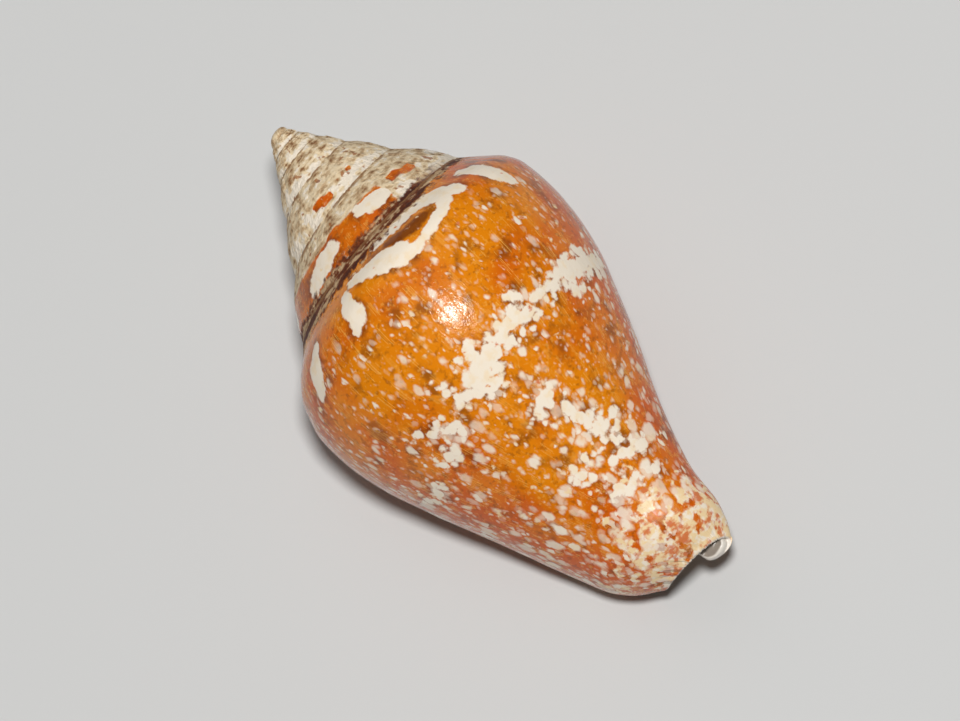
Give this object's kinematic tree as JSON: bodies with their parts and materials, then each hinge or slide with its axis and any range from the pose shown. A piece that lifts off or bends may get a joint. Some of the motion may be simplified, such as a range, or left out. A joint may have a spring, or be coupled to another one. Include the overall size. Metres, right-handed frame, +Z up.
{
  "type": "dove shell",
  "caption": "Small right-handed coiled sea-snail shell with a pointed, worn spire and a glossy orange body whorl flecked with cream, lying on its slit-like opening.",
  "frame": {"origin": "centre of the shell's box on the ground it lies on", "axes": "+X from the spire towards the front end of the shell, +Y away from the outer lip, +Z up through its back"},
  "size_m": [0.0198, 0.011, 0.0098],
  "materials": {
    "shell": "glossy orange body with cream flames and flecks, matte worn cream spire"
  },
  "bodies": {
    "root": {"shell": "shell"}
  },
  "joints": []
}
